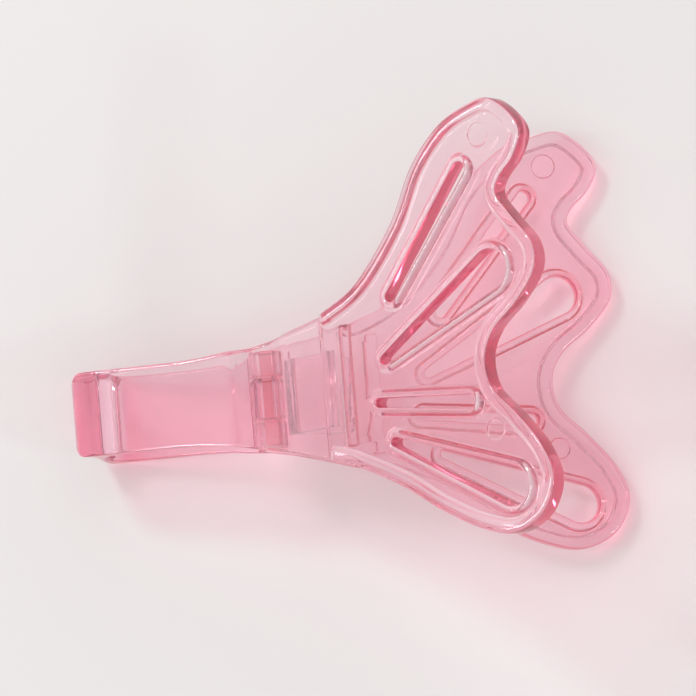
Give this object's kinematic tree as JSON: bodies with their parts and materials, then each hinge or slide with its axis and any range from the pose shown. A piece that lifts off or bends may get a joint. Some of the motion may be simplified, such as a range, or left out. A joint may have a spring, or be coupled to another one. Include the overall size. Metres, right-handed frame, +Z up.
{
  "type": "orchid clip",
  "caption": "Sprung plant clip with butterfly-wing handles that holds a flower stem to its stick in a closed jaw.",
  "frame": {"origin": "middle of the footprint of the clip as it lies on a table, on the nose of its lower jaw and the tips of its lower wings", "axes": "+X along the clip from the jaws to the wings, +Y along the hinge axis towards the fore wings, +Z up"},
  "size_m": [0.0366, 0.0282, 0.023],
  "materials": {
    "lower_plastic": "clear pink, moulded, glossy",
    "upper_plastic": "clear pink, moulded, glossy",
    "pin_plastic": "clear, glossy",
    "spring_plastic": "clear, glossy"
  },
  "bodies": {
    "lower": {"lower_half": "lower_plastic", "hinge_pin": "pin_plastic", "bow_spring": "spring_plastic"},
    "upper": {"upper_half": "upper_plastic"}
  },
  "joints": [
    {"name": "wing_squeeze", "type": "hinge", "parent": "lower", "child": "upper", "pos_m": [-0.00505, -0.00288, 0.00654], "axis": [0, 1, 0], "range_deg": [0, 48], "stiffness_Nm_per_rad": 0.03, "springref_deg": -28.65, "deforming": ["bow_spring"]}
  ]
}
